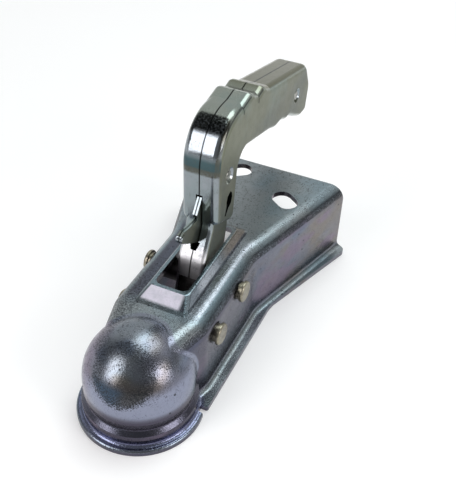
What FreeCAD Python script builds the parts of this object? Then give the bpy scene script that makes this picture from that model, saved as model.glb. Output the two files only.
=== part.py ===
import FreeCAD
import Part
import Sketcher
import math
import os

# Trailer coupling head for a 50 mm towing ball, in millimetres.
# X runs across the coupling, Y from the ball towards the drawbar, Z up.
# The origin is the centre of the ball.

os.makedirs("parts", exist_ok=True)
doc = FreeCAD.newDocument("coupling_head")

SIZES = {
    # pressed body: sheet, ball cup and channel
    "sheet": 3.0,
    "ball_radius": 25.0,
    "ball_play": 0.5,
    "top_height": 24.4,
    "base_depth": 23.6,
    "narrow_half": 26.5,
    "shoulder_end": 22.0,
    "nose_half": 19.5,
    "nose_reach": 4.0,
    "flare_start": 84.0,
    "rear_half": 50.3,
    "rear_end": 164.9,
    "edge_round": 9.0,
    "flare_round": 25.0,
    "shoulder_round": 14.0,
    "dome_blend": 2.0,
    # flanges at the foot of the walls, rim and bead round the cup
    "flange_half": 33.3,
    "flange_front": 9.8,
    "flange_flare": 95.0,
    "flange_flat": 0.8,
    "flange_rear_half": 57.6,
    "flange_corner": 4.0,
    "flange_round": 1.2,
    "rim_radius": 33.1,
    "rim_end": 5.8,
    "notch_depth": 3.6,
    "bend_round": 3.5,
    "rim_bend": 1.9,
    "rim_round": 1.5,
    "neck_start": 6.0,
    "neck_depth": 0.9,
    "neck_rise": 12.6,
    "bead_rise": 8.8,
    "bead_height": 2.6,
    "bead_step": 1.4,
    # raised collar round the handle's mouth
    "mouth_half": 9.3,
    "mouth_front": 33.5,
    "mouth_rear": 91.0,
    "mouth_round": 3.6,
    "collar_lip": 1.9,
    "collar_rise": 5.3,
    "collar_foot_half": 14.8,
    "collar_foot_front": 21.8,
    "collar_foot_rear": 100.0,
    "collar_corner": 4.0,
    "collar_round": 1.6,
    # slots for the drawbar bolts
    "slot_width": 12.5,
    "slot_length": 17.5,
    "slot_tilt": 36.0,
    "slot_flat": 0.5,
    "right_slot_across": 22.3,
    "right_slot_along": 136.2,
    "left_slot_across": 15.4,
    "left_slot_along": 152.6,
    # the two riveted pins
    "pin_radius": 4.5,
    "pin_fit": 0.05,
    "pivot_along": 63.1,
    "pivot_up": 14.1,
    "hinge_along": 34.2,
    "hinge_up": 8.6,
    "head_radius": 6.0,
    "head_height": 2.0,
    "head_round": 1.1,
    "shoulder_radius": 5.0,
    "shoulder_height": 1.4,
    "spacer_wall": 1.8,
    "side_play": 0.2,
    # handle: two pressed half shells
    "handle_sheet": 2.2,
    "grip_half": 10.5,
    "stem_half": 8.0,
    "grip_round": 4.0,
    "stem_round": 2.4,
    "seam_gap": 0.1,
    "stem_front": 66.3,
    "stem_rear": 89.2,
    "shoulder_up": 48.5,
    "crown_up": 105.3,
    "crown_round": 25.0,
    "soft_round": 4.8,
    "lip_proud": 0.25,
    "lip_round": 3.4,
    "elbow_round": 9.0,
    "grip_end": 200.7,
    "cheek_radius": 13.6,
    "catch_gap": 1.9,
    "rivet_radius": 3.0,
    "rivet_sink": 0.4,
    "rivet_bevel": 0.6,
    "dimple_radius": 4.7,
    "dimple_depth": 1.2,
    "dimple_taper": 1.2,
    "stem_rivet_along": 79.8,
    "stem_rivet_up": 73.0,
    "tip_rivet_along": 175.9,
    "tip_rivet_up": 71.7,
    # cam between the cheeks, its bush and its rivet
    "cam_half": 5.4,
    "bush_wall": 2.0,
    "bush_half": 5.7,
    "cam_rivet_radius": 2.6,
    "cam_rivet_rise": 0.1,
    "small_bevel": 0.2,
    "cam_rivet_along": 70.0,
    "cam_rivet_up": 24.0,
    # safety catch
    "catch_half": 1.3,
    "catch_tab_half": 1.8,
    "catch_tab_radius": 2.2,
    "catch_pin_radius": 1.6,
    "catch_pin_sink": 0.4,
    "catch_notch_half": 3.0,
    "catch_notch_foot": 1.5,
    "catch_notch_depth": 4.2,
    "catch_pivot_along": 76.0,
    "catch_pivot_up": 46.0,
    # springs
    "jaw_wire": 1.0,
    "jaw_coil": 6.3,
    "jaw_pitch": 3.0,
    "jaw_turns": 3.0,
    "leg_share": 0.94,
    "catch_wire": 0.45,
    "catch_coil": 2.9,
    "catch_pitch": 1.4,
    "catch_turns": 2.0,
    # clamping jaw
    "jaw_half": 14.0,
    "jaw_play": 0.6,
    "ear_gap_half": 6.0,
    "jaw_bottom": 19.5,
}

sizes = doc.addObject("Spreadsheet::Sheet", "sizes")
for row, (word, value) in enumerate(SIZES.items(), 1):
    sizes.set("A%d" % row, word)
    sizes.set("B%d" % row, str(value))
    sizes.setAlias("B%d" % row, word)
doc.recompute()


def size(word):
    """The present value of one named cell."""
    return float(sizes.get(word))


def say(text):
    """An expression on the sheet: each named size gets the sheet's name in front."""
    words = []
    for word in text.split():
        bare = word.strip("()")
        words.append(word.replace(bare, "sizes." + bare) if bare in SIZES else word)
    return " ".join(words)


def settle(feature):
    """Recompute, and stop where the feature has failed."""
    doc.recompute()
    failed = "Invalid" in feature.State or "Error" in feature.State
    if failed or feature.Shape.isNull():
        raise RuntimeError("%s failed: %s" % (feature.Name, feature.State))
    return feature


def new_body(label):
    """An empty body whose label names its file."""
    body = doc.addObject("PartDesign::Body", label)
    body.Label = label
    return body


def origin_feature(body, role):
    """One of the body's own origin planes or axes."""
    for feature in body.Origin.OriginFeatures:
        if feature.Role == role:
            return feature


def bind(sketch, label, constraint, value):
    """Add a named constraint and tie it to an expression."""
    index = sketch.addConstraint(constraint)
    sketch.renameConstraint(index, label)
    sketch.setExpression("Constraints." + label, say(str(value)))


def attach(feature, body, role, lift="0"):
    """Seat a sketch or primitive on an origin plane, lifted along its normal."""
    feature.AttachmentSupport = [(origin_feature(body, role), "")]
    feature.MapMode = "FlatFace"
    feature.setExpression(".AttachmentOffset.Base.z", say(lift))


def outline(body, name, role, points, lift="0", rounds=None):
    """A closed polygon whose corners are pairs of expressions, some of them rounded."""
    sketch = body.newObject("Sketcher::SketchObject", name)
    attach(sketch, body, role, lift)
    count = len(points)
    turn = 2 * math.pi / count
    ring = [FreeCAD.Vector(50 * math.cos(turn * k), 50 * math.sin(turn * k), 0) for k in range(count)]
    for k in range(count):
        sketch.addGeometry(Part.LineSegment(ring[k], ring[(k + 1) % count]), False)
    for k in range(count):
        sketch.addConstraint(Sketcher.Constraint("Coincident", k, 2, (k + 1) % count, 1))
    for k, pair in enumerate(points):
        for kind, text in zip(("DistanceX", "DistanceY"), pair):
            bind(sketch, "corner%d%s" % (k, kind[-1]), Sketcher.Constraint(kind, -1, 1, k, 1, 1.0), text)
    settle(sketch)
    for corner, radius in (rounds or {}).items():
        arc = sketch.GeometryCount
        sketch.fillet(corner, 1, START_ROUND, True, True)
        bind(sketch, "round%d" % corner, Sketcher.Constraint("Radius", arc, START_ROUND), radius)
    return settle(sketch)


def disc(body, name, role, across, up, radius, lift="0"):
    """A circle whose centre and radius are expressions."""
    sketch = body.newObject("Sketcher::SketchObject", name)
    attach(sketch, body, role, lift)
    sketch.addGeometry(Part.Circle(FreeCAD.Vector(5, 5, 0), FreeCAD.Vector(0, 0, 1), 3), False)
    bind(sketch, "across", Sketcher.Constraint("DistanceX", -1, 1, 0, 3, 5.0), across)
    bind(sketch, "up", Sketcher.Constraint("DistanceY", -1, 1, 0, 3, 5.0), up)
    bind(sketch, "radius", Sketcher.Constraint("Radius", 0, 3.0), radius)
    return settle(sketch)


def pad(body, name, sketch, length, midplane=False, back=False):
    """A prism on a sketch."""
    feature = body.newObject("PartDesign::Pad", name)
    feature.Profile = sketch
    feature.SideType = "Symmetric" if midplane else "One side"
    feature.Reversed = back
    feature.setExpression("Length", say(length))
    return settle(feature)


def pocket(body, name, sketch, length, midplane=False, back=False):
    """A cut on a sketch, which has to take something away."""
    before = body.Tip.Shape.Volume
    feature = body.newObject("PartDesign::Pocket", name)
    feature.Profile = sketch
    feature.SideType = "Symmetric" if midplane else "One side"
    feature.Reversed = back
    feature.setExpression("Length", say(length))
    settle(feature)
    if not feature.Shape.Volume < before - 0.01:
        raise RuntimeError("%s cuts nothing in %s" % (name, body.Label))
    return feature


def primitive(body, kind, name, role, lift, **terms):
    """An additive or subtractive primitive on an origin plane."""
    feature = body.newObject("PartDesign::" + kind, name)
    attach(feature, body, role, lift)
    for key, text in terms.items():
        feature.setExpression(key, say(text))
    return settle(feature)


def place(feature, across, up):
    """Move a primitive within its plane."""
    feature.setExpression(".AttachmentOffset.Base.x", say(across))
    feature.setExpression(".AttachmentOffset.Base.y", say(up))
    return settle(feature)


def edges(feature, test):
    """Names of the edges that pass a test."""
    return ["Edge%d" % number for number, edge in enumerate(feature.Shape.Edges, 1) if test(edge)]


def flat_at(axis, value, edge):
    """Whether an edge lies in the plane where X, Y or Z has this value."""
    box = edge.BoundBox
    low, high = getattr(box, axis + "Min"), getattr(box, axis + "Max")
    return abs(low - value) < 0.01 and abs(high - value) < 0.01


def bevel(body, name, names, width):
    """Chamfer the named edges of the body's present tip."""
    base = body.Tip
    feature = body.newObject("PartDesign::Chamfer", name)
    feature.Base = (base, names)
    feature.setExpression("Size", say(width))
    return settle(feature)


def fillet(body, name, names, radius):
    """Round the named edges of the body's present tip."""
    base = body.Tip
    feature = body.newObject("PartDesign::Fillet", name)
    feature.Base = (base, names)
    feature.setExpression("Radius", say(radius))
    return settle(feature)


def panel(body, name, role, low, high, radius, lift="0"):
    """A rectangle with round corners, from its low corner to its high one."""
    corners = [(low[0], low[1]), (high[0], low[1]), (high[0], high[1]), (low[0], high[1])]
    return outline(body, name, role, corners, lift, dict.fromkeys(range(4), radius))


def loft(body, kind, name, first, second):
    """A straight-sided loft that adds or cuts."""
    feature = body.newObject("PartDesign::" + kind, name)
    feature.Profile = first
    feature.Sections = [second]
    feature.Ruled = True
    return settle(feature)


def mirrored_plan(right):
    """A plan outline that is the same on both sides of the middle."""
    left = [("0 - ( %s )" % across, along) for across, along in reversed(right)]
    return right + left


def rod(body, name, along, up, start, length, radius):
    """A cylinder along X that starts at a given X."""
    feature = primitive(body, "AdditiveCylinder", name, "YZ_Plane", start, Radius=radius, Height=length)
    place(feature, along, up)
    return feature


def bore(body, name, along, up, radius):
    """A hole along X right through the piece."""
    circle = disc(body, name + "_circle", "YZ_Plane", along, up, radius)
    return pocket(body, name, circle, "200", midplane=True)


def offsets(along, up, points):
    """Outline corners given as distances from a named place."""
    return [("%s + %s" % (along, over), "%s + %s" % (up, rise)) for over, rise in points]


# radius that a rounded corner is drawn with before its own size is set
START_ROUND = 0.4
CUP = "ball_radius + ball_play"
DOME = "ball_radius + ball_play + sheet"


# Pressed body

def build_collar():
    """Block of the raised collar, with sloping sides and round edges."""
    body = new_body("collar_block")
    crown = size("top_height") + size("collar_rise")
    profile = outline(body, "collar_profile", "YZ_Plane", [
        ("collar_foot_front", "top_height - sheet / 2"),
        ("collar_foot_front", "top_height"),
        ("mouth_front - collar_lip", "top_height + collar_rise"),
        ("mouth_rear + collar_lip", "top_height + collar_rise"),
        ("collar_foot_rear", "top_height"),
        ("collar_foot_rear", "top_height - sheet / 2"),
    ])
    pad(body, "collar", profile, "2 * collar_foot_half", midplane=True)
    for side, label in ((1, "right"), (-1, "left")):
        slope = outline(body, label + "_slope", "XZ_Plane", [
            ("%d * collar_foot_half" % side, "top_height"),
            ("%d * ( mouth_half + collar_lip )" % side, "top_height + collar_rise"),
            ("%d * ( mouth_half + collar_lip )" % side, "top_height + 2 * collar_rise"),
            ("%d * 2 * collar_foot_half" % side, "top_height + 2 * collar_rise"),
            ("%d * 2 * collar_foot_half" % side, "top_height"),
        ])
        pocket(body, label + "_cut", slope, "4 * collar_foot_rear", midplane=True)

    def corner(edge):
        box = edge.BoundBox
        return abs(box.ZMax - crown) < 0.01 and box.ZLength > size("collar_rise") - 0.01 and box.XLength > 0.1

    fillet(body, "collar_corner", edges(body.Tip, corner), "collar_corner")
    fillet(body, "collar_edge", edges(body.Tip, lambda edge: flat_at("Z", crown, edge)), "collar_round")
    return body


def build_body():
    """Pressed shell: cup, channel, flanges, rim, collar, slots and pin holes."""
    body = new_body("coupling_body")
    plan = mirrored_plan([
        ("nose_half", "0 - nose_reach"),
        ("narrow_half", "shoulder_end"),
        ("narrow_half", "flare_start"),
        ("rear_half", "rear_end"),
    ])
    rounds = {1: "shoulder_round", 6: "shoulder_round", 2: "flare_round", 5: "flare_round"}
    foot = outline(body, "channel_plan", "XY_Plane", plan, "0 - base_depth", rounds)
    pad(body, "channel", foot, "base_depth + top_height")
    top = size("top_height")
    rear = size("rear_end")
    nose = -size("nose_reach")

    def crest(edge):
        return flat_at("Z", top, edge) and not flat_at("Y", rear, edge) and not flat_at("Y", nose, edge)

    fillet(body, "channel_edge", edges(body.Tip, crest), "edge_round")

    # dome and skirt, blended into the flat top
    primitive(body, "AdditiveSphere", "dome", "XY_Plane", "0", Radius=DOME, Angle1="0")
    primitive(body, "AdditiveCylinder", "skirt", "XY_Plane", "0 - neck_start", Radius=DOME, Height="neck_start")
    dome = size("ball_radius") + size("ball_play") + size("sheet")

    def dome_seam(edge):
        middle = edge.valueAt((edge.FirstParameter + edge.LastParameter) / 2)
        return edge.BoundBox.ZMin > 10 and abs(middle.Length - dome) < 0.02 and middle.y > 1

    fillet(body, "dome_foot", edges(body.Tip, dome_seam),
           "min( dome_blend ; ( %s - top_height ) / 2 )" % DOME)

    # flanges along both sides, bent out of the walls
    plan = mirrored_plan([
        ("flange_half", "flange_front"),
        ("flange_half", "flange_flare"),
        ("flange_rear_half", "rear_end"),
    ])
    rounds = {0: "flange_round", 5: "flange_round", 1: "flare_round", 4: "flare_round",
              2: "flange_corner", 3: "flange_corner"}
    plate = outline(body, "flange_plan", "XY_Plane", plan, "0 - base_depth", rounds)
    pad(body, "flange", plate, "sheet")
    shelf = size("sheet") - size("base_depth")
    front = size("flange_front")

    def wall_foot(edge):
        if not flat_at("Z", shelf, edge) or flat_at("Y", rear, edge) or flat_at("Y", front, edge):
            return False
        sides = body.Tip.Shape.ancestorsOfType(edge, Part.Face)
        return any(face.BoundBox.ZMax > shelf + 3 for face in sides)

    fillet(body, "wall_bend", edges(body.Tip, wall_foot),
           "min( bend_round ; flange_half - narrow_half - flange_flat ; flange_rear_half - rear_half - flange_flat )")

    # turned foot of the skirt: bead and rim
    profile = [
        ("0", "0 - neck_start"),
        (DOME, "0 - neck_start"),
        (DOME + " - neck_depth", "neck_rise - base_depth"),
        (DOME + " + bead_step", "bead_rise + bead_height / 2 - base_depth"),
        (DOME + " + bead_step", "bead_rise - bead_height / 2 - base_depth"),
        (DOME + " + bead_step / 3", "sheet - base_depth"),
        ("rim_radius", "sheet - base_depth"),
        ("rim_radius", "0 - base_depth"),
        ("0", "0 - base_depth"),
    ]
    rounds = {2: "neck_depth", 3: "bead_step / 2", 4: "bead_step / 2", 5: "rim_bend", 6: "rim_round"}
    ring = outline(body, "skirt_profile", "XZ_Plane", profile, "0", rounds)
    turned = body.newObject("PartDesign::Revolution", "foot_ring")
    turned.Profile = ring
    turned.ReferenceAxis = (ring, ["V_Axis"])
    turned.Angle = 360
    settle(turned)
    # hollow of the cup and of the channel behind it
    primitive(body, "SubtractiveSphere", "cup", "XY_Plane", "0", Radius=CUP, Angle1="0")
    primitive(body, "SubtractiveCylinder", "cup_mouth", "XY_Plane", "0 - base_depth - 1",
              Radius=CUP, Height="base_depth + 1")
    plan = mirrored_plan([
        ("nose_half - sheet", "0 - nose_reach"),
        ("narrow_half - sheet", "shoulder_end"),
        ("narrow_half - sheet", "flare_start"),
        ("rear_half - sheet", "rear_end"),
        ("rear_half - sheet", "rear_end + 1"),
    ])
    rounds = {2: "flare_round + sheet", 7: "flare_round + sheet"}
    inner = outline(body, "inner_plan", "XY_Plane", plan, "top_height - sheet", rounds)
    pocket(body, "channel_hollow", inner, "top_height + base_depth")
    ceiling = top - size("sheet")

    def inner_crest(edge):
        box = edge.BoundBox
        behind = box.YMin > size("shoulder_end") - 1
        return flat_at("Z", ceiling, edge) and abs(box.Center.x) > size("mouth_half") and behind

    fillet(body, "inner_edge", edges(body.Tip, inner_crest), "edge_round / 2")

    # raised collar and the mouth through it
    join = body.newObject("PartDesign::Boolean", "collar")
    join.setObjects([build_collar()])
    join.Type = "Fuse"
    settle(join)
    low = panel(body, "mouth_foot", "XY_Plane",
                ("sheet - collar_foot_half", "collar_foot_front + sheet"),
                ("collar_foot_half - sheet", "collar_foot_rear - sheet"),
                "mouth_round", "top_height - sheet")
    high = panel(body, "mouth_rim", "XY_Plane",
                 ("0 - mouth_half", "mouth_front"), ("mouth_half", "mouth_rear"),
                 "mouth_round", "top_height + collar_rise")
    loft(body, "SubtractiveLoft", "mouth", low, high)

    # notch that parts the rim from the side flanges
    for side, label in ((1, "right"), (-1, "left")):
        near = "%d * ( rim_radius - notch_depth )" % side
        far = "%d * ( rim_radius + notch_depth )" % side
        plan = [(near, "rim_end"), (far, "rim_end"), (far, "flange_front"), (near, "flange_front")]
        gap = outline(body, "notch_plan_" + label, "XY_Plane", plan, "sheet + bend_round - base_depth")
        pocket(body, "notch_" + label, gap, "sheet + bend_round + 1")

    # slots for the drawbar bolts, in the flat top
    for side, label in ((1, "right"), (-1, "left")):
        slot = panel(body, "slot_plan_" + label, "XY_Plane",
                     ("0 - slot_length / 2", "0 - slot_width / 2"), ("slot_length / 2", "slot_width / 2"),
                     "slot_width / 2 - slot_flat", "top_height")
        slot.AttachmentOffset = FreeCAD.Placement(
            slot.AttachmentOffset.Base, FreeCAD.Rotation(FreeCAD.Vector(0, 0, 1), 1))
        slot.setExpression(".AttachmentOffset.Rotation.Angle", say("%d * slot_tilt" % -side))
        place(slot, "%d * %s_slot_across" % (side, label), "%s_slot_along" % label)
        pocket(body, "slot_" + label, slot, "sheet + 1")

    bore(body, "pivot_hole", "pivot_along", "pivot_up", "pin_radius + pin_fit")
    bore(body, "hinge_hole", "hinge_along", "hinge_up", "pin_radius + pin_fit")
    return body


# Pins riveted across the body, and the tubes that keep the moving pieces central

def build_pin(label, along, up):
    """Rivet right across the body, with a shoulder and a flat head outside each wall."""
    body = new_body(label)
    wall = "narrow_half"
    rod(body, "shank", along, up, "0 - %s - shoulder_height" % wall,
        "2 * ( %s + shoulder_height )" % wall, "pin_radius")
    for side, name in ((1, "right"), (-1, "left")):
        near = wall if side > 0 else "0 - %s - shoulder_height" % wall
        rod(body, name + "_shoulder", along, up, near, "shoulder_height", "shoulder_radius")
        near = "%s + shoulder_height" % wall if side > 0 else "0 - %s - shoulder_height - head_height" % wall
        rod(body, name + "_head", along, up, near, "head_height", "head_radius")
    tip = size("narrow_half") + size("shoulder_height") + size("head_height")
    ends = edges(body.Tip, lambda edge: flat_at("X", tip, edge) or flat_at("X", -tip, edge))
    fillet(body, "head_edge", ends, "head_round")
    return body


def build_spacer(label, along, up, side, start):
    """Tube on a pin from the moving piece out to one wall."""
    body = new_body(label)
    wall = "narrow_half - sheet - 3 * side_play"
    near = "%s + side_play" % start if side > 0 else "0 - ( %s )" % wall
    rod(body, "tube", along, up, near, "%s - ( %s + side_play )" % (wall, start),
        "pin_radius + pin_fit + spacer_wall")
    bore(body, "tube_bore", along, up, "pin_radius + pin_fit")
    end = side * (size("narrow_half") - size("sheet") - 3 * size("side_play"))
    hole = size("pin_radius") + size("pin_fit")

    def outer_end(edge):
        return flat_at("X", end, edge) and edge.Length > 2 * math.pi * hole + 1

    bevel(body, "end_bevel", edges(body.Tip, outer_end), "spacer_wall - side_play")
    return body


# Handle: two pressed half shells that meet on the middle plane

GRIP = [
    ("stem_front", "shoulder_up"),
    ("stem_front", "crown_up"),
    ("stem_front + 41.2", "crown_up"),
    ("stem_front + 50.2", "crown_up - 3.3"),
    ("stem_front + 57.7", "crown_up - 3.5"),
    ("stem_front + 65.7", "crown_up - 6.7"),
    ("grip_end - 8.5", "crown_up - 20.3"),
    ("grip_end", "crown_up - 36.3"),
    ("grip_end - 3.5", "crown_up - 54.5"),
    ("grip_end - 13.5", "crown_up - 54.1"),
    ("grip_end - 22", "crown_up - 49.8"),
    ("grip_end - 33.5", "crown_up - 43.4"),
    ("grip_end - 40", "crown_up - 42.9"),
    ("grip_end - 46.5", "crown_up - 39.7"),
    ("grip_end - 57.5", "crown_up - 39.2"),
    ("grip_end - 65.5", "crown_up - 36.1"),
    ("stem_rear + 4.3", "crown_up - 26"),
    ("stem_rear - 0.7", "shoulder_up - 10"),
]
GRIP_ROUNDS = dict.fromkeys(range(18), "soft_round")
GRIP_ROUNDS.update({1: "crown_round", 6: "soft_round + 3", 7: "soft_round + 8", 16: "elbow_round"})
LIPS = {
    "first_lip": [
        ("stem_front + 29", "crown_up - 5"),
        ("stem_front + 29", "crown_up - 0.4"),
        ("stem_front + 39", "crown_up + 1.5"),
        ("stem_front + 40.8", "crown_up + 1"),
        ("stem_front + 43", "crown_up - 5"),
    ],
    "second_lip": [
        ("stem_front + 48", "crown_up - 8"),
        ("stem_front + 49", "crown_up - 3.4"),
        ("stem_front + 55", "crown_up - 2"),
        ("stem_front + 56.8", "crown_up - 2.5"),
        ("stem_front + 59", "crown_up - 8"),
    ],
}
STEM = [
    ("pivot_along - 10.1", "pivot_up"),
    ("pivot_along - 6.6", "pivot_up + 15.4"),
    ("stem_front", "shoulder_up - 1.5"),
    ("stem_front", "shoulder_up + 11.5"),
    ("stem_rear - 3.2", "shoulder_up + 11.5"),
    ("stem_rear - 3.2", "shoulder_up - 10.5"),
    ("pivot_along + 16.4", "pivot_up - 2"),
    ("pivot_along + 8.9", "pivot_up - cheek_radius"),
    ("pivot_along - 7.1", "pivot_up - cheek_radius"),
    ("pivot_along - 12.6", "pivot_up - 8.1"),
]
STEM_ROUNDS = {0: 12, 1: 16, 2: 10, 6: 8, 7: 7, 8: 6, 9: 4}
GRIP_HOLLOW = [
    ("stem_front + handle_sheet", "shoulder_up + 4"),
    ("stem_front + handle_sheet", "crown_up - 16"),
    ("stem_front + 16", "crown_up - handle_sheet"),
    ("stem_front + 41.2", "crown_up - handle_sheet - 0.2"),
    ("stem_front + 65.7", "crown_up - 9.5"),
    ("grip_end - 12", "crown_up - 22.5"),
    ("grip_end - 3.5", "crown_up - 38"),
    ("grip_end - 6", "crown_up - 51"),
    ("grip_end - 14", "crown_up - 51"),
    ("grip_end - 36", "crown_up - 39.8"),
    ("grip_end - 61", "crown_up - 35"),
    ("grip_end - 82.5", "crown_up - 28.8"),
    ("stem_rear - 0.5", "crown_up - 21"),
    ("stem_rear - 4", "shoulder_up - 3"),
]
STEM_HOLLOW = [
    ("pivot_along - 20", "pivot_up - 20"),
    ("pivot_along - 20", "pivot_up + 5.5"),
    ("pivot_along - 6.7", "pivot_up + 5.5"),
    ("pivot_along - 3.9", "pivot_up + 16"),
    ("stem_front + handle_sheet", "shoulder_up - 2"),
    ("stem_front + handle_sheet", "shoulder_up + 5"),
    ("stem_rear - 6", "shoulder_up + 5"),
    ("stem_rear - 6", "shoulder_up - 11"),
    ("pivot_along + 14", "pivot_up + 3"),
    ("pivot_along + 26", "pivot_up + 3"),
    ("pivot_along + 26", "pivot_up - 20"),
]
KEYHOLE = offsets("stem_rear", "shoulder_up", [
    (-7.7, 13.5), (-11, 12), (-12.2, 9), (-11.9, 6.3), (-14, 1.2), (-12.6, 0.7), (-9.6, 4.1), (-6.6, 5.3),
    (-5, 8.5), (-5.6, 11.8),
])


def build_stem(label, side):
    """Lower, narrower part of one half shell, down to its cheek on the pivot."""
    body = new_body(label)
    narrow = side * size("stem_half")
    stem = outline(body, "stem_outline", "YZ_Plane", STEM, "%d * seam_gap" % side, STEM_ROUNDS)
    pad(body, "stem", stem, "stem_half - seam_gap", back=side < 0)
    fillet(body, "stem_edge", edges(body.Tip, lambda edge: flat_at("X", narrow, edge)), "stem_round")
    return body


def build_lip(label, side, profile):
    """Raised lip across the top of one half shell, where the crown meets the grip."""
    body = new_body(label)
    proud = side * (size("grip_half") + size("lip_proud"))
    foot = size("crown_up") - 5
    lip = outline(body, "lip_outline", "YZ_Plane", profile, "%d * seam_gap" % side)
    pad(body, "lip", lip, "grip_half + lip_proud - seam_gap", back=side < 0)

    def upper(edge):
        box = edge.BoundBox
        return flat_at("X", proud, edge) and box.ZLength < 3 and box.ZMin > foot + 1

    fillet(body, "lip_edge", edges(body.Tip, upper), "lip_round")
    return body


def dimple(body, name, side, along, up):
    """A pressed recess with its rivet hole in one side of the handle."""
    lift = "grip_half - dimple_depth" if side > 0 else "0 - grip_half"
    small = "dimple_radius - dimple_taper"
    first, last = (small, "dimple_radius") if side > 0 else ("dimple_radius", small)
    feature = primitive(body, "SubtractiveCone", name, "YZ_Plane", lift,
                        Radius1=first, Radius2=last, Height="dimple_depth")
    place(feature, along, up)
    bore(body, name + "_hole", along, up, "rivet_radius + pin_fit")


def build_shell(label, side):
    """One pressed half of the lift handle."""
    body = new_body(label)
    back = side < 0
    wide = side * size("grip_half")
    grip = outline(body, "grip_outline", "YZ_Plane", GRIP, "%d * seam_gap" % side, GRIP_ROUNDS)
    pad(body, "grip", grip, "grip_half - seam_gap", back=back)
    fillet(body, "grip_edge", edges(body.Tip, lambda edge: flat_at("X", wide, edge)), "grip_round")
    pieces = [build_stem(label + "_stem", side)]
    for name, profile in LIPS.items():
        pieces.append(build_lip("%s_%s" % (label, name), side, profile))
    join = body.newObject("PartDesign::Boolean", "join")
    join.setObjects(pieces)
    join.Type = "Fuse"
    settle(join)
    hollow = outline(body, "grip_hollow_outline", "YZ_Plane", GRIP_HOLLOW)
    pocket(body, "grip_hollow", hollow, "2 * ( grip_half - handle_sheet )", midplane=True)
    hollow = outline(body, "stem_hollow_outline", "YZ_Plane", STEM_HOLLOW)
    pocket(body, "stem_hollow", hollow, "2 * ( stem_half - handle_sheet )", midplane=True)
    slot = outline(body, "catch_slot_outline", "YZ_Plane", [
        ("stem_front - 16", "catch_pivot_up - 8"),
        ("stem_front + handle_sheet + 1", "catch_pivot_up - 8"),
        ("stem_front + handle_sheet + 1", "catch_pivot_up + 20"),
        ("stem_front - 16", "catch_pivot_up + 20"),
    ])
    pocket(body, "catch_slot", slot, "2 * catch_gap", midplane=True)
    notch = outline(body, "notch_outline", "XZ_Plane", [
        ("0 - catch_notch_half", "catch_pivot_up - 7"),
        ("0 - catch_notch_foot", "catch_pivot_up - 7 - catch_notch_depth"),
        ("catch_notch_foot", "catch_pivot_up - 7 - catch_notch_depth"),
        ("catch_notch_half", "catch_pivot_up - 7"),
    ])
    pocket(body, "notch", notch, "2 * ( stem_front + 5 )", midplane=True)
    slot = outline(body, "keyhole_outline", "YZ_Plane", KEYHOLE)
    pocket(body, "keyhole", slot, "3 * grip_half", midplane=True)
    dimple(body, "stem_dimple", side, "stem_rivet_along", "stem_rivet_up")
    dimple(body, "tip_dimple", side, "tip_rivet_along", "tip_rivet_up")
    bore(body, "pivot_hole", "pivot_along", "pivot_up", "pin_radius + pin_fit")
    bore(body, "cam_rivet_hole", "cam_rivet_along", "cam_rivet_up", "cam_rivet_radius + pin_fit")
    seat = disc(body, "catch_pin_seat_circle", "YZ_Plane", "catch_pivot_along", "catch_pivot_up",
                "catch_pin_radius + pin_fit")
    pocket(body, "catch_pin_seat", seat, "2 * stem_half - catch_pin_sink", midplane=True)
    return body


def build_rivet(label, along, up, half, radius, width):
    """A plain rivet across the handle with bevelled ends."""
    body = new_body(label)
    rod(body, "rivet", along, up, "0 - ( %s )" % half, "2 * ( %s )" % half, radius)

    def at_end(edge):
        return abs(edge.BoundBox.XLength) < 0.001 and abs(edge.CenterOfMass.x) > 1

    bevel(body, "rivet_edge", edges(body.Tip, at_end), width)
    return body


def build_bush():
    """Bush on the pivot pin between the two cheeks."""
    body = new_body("pivot_bush")
    rod(body, "bush", "pivot_along", "pivot_up", "0 - bush_half", "2 * bush_half",
        "pin_radius + bush_wall")
    bore(body, "bush_bore", "pivot_along", "pivot_up", "pin_radius + pin_fit")
    return body


# Cam that wedges the jaw shut

CAM = offsets("pivot_along", "pivot_up", [
    (1.9, 16.9), (11.9, 16.9), (12.4, -4.1), (4.9, -11.6), (-16.1, -27.6), (-22.6, -22.6), (-11.1, -2.1),
])
CAM_ROUNDS = {0: 3, 1: 3, 2: 8, 3: 8, 4: 3.5, 5: 3.5, 6: 10}


def build_cam():
    """Cam plate on the bush, riveted to both cheeks."""
    body = new_body("lock_cam")
    plan = outline(body, "cam_outline", "YZ_Plane", CAM, "0", CAM_ROUNDS)
    pad(body, "cam", plan, "2 * cam_half", midplane=True)
    bore(body, "cam_bore", "pivot_along", "pivot_up", "pin_radius + bush_wall + pin_fit")
    bore(body, "cam_rivet_hole", "cam_rivet_along", "cam_rivet_up", "cam_rivet_radius + pin_fit")
    return body


# Safety catch in the front of the handle

CATCH = offsets("catch_pivot_along", "catch_pivot_up", [
    (-9, 18.6), (-5.5, 18.8), (4, 6), (4.5, -2), (0, -4.5), (-8.4, -10.1), (-12, -8.7), (-27.7, 1.6),
    (-31.5, 4.5), (-32.5, 9), (-29, 10), (-22.2, 8.6), (-13.6, 7.6), (-14.8, 10.8),
])
CATCH_ROUNDS = {0: 1, 1: 1.5, 2: 3, 3: 3, 4: 3, 5: 2, 6: 2, 9: 1}


def build_catch():
    """Trigger plate with a round finger tab."""
    body = new_body("safety_catch")
    plan = outline(body, "catch_outline", "YZ_Plane", CATCH, "0", CATCH_ROUNDS)
    pad(body, "catch", plan, "2 * catch_half", midplane=True)
    rod(body, "finger_tab", "catch_pivot_along - 30.2", "catch_pivot_up + 6.6", "0 - catch_tab_half",
        "2 * catch_tab_half", "catch_tab_radius")
    bore(body, "catch_bore", "catch_pivot_along", "catch_pivot_up", "catch_pin_radius + pin_fit")
    return body


# Clamping jaw behind the ball

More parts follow.
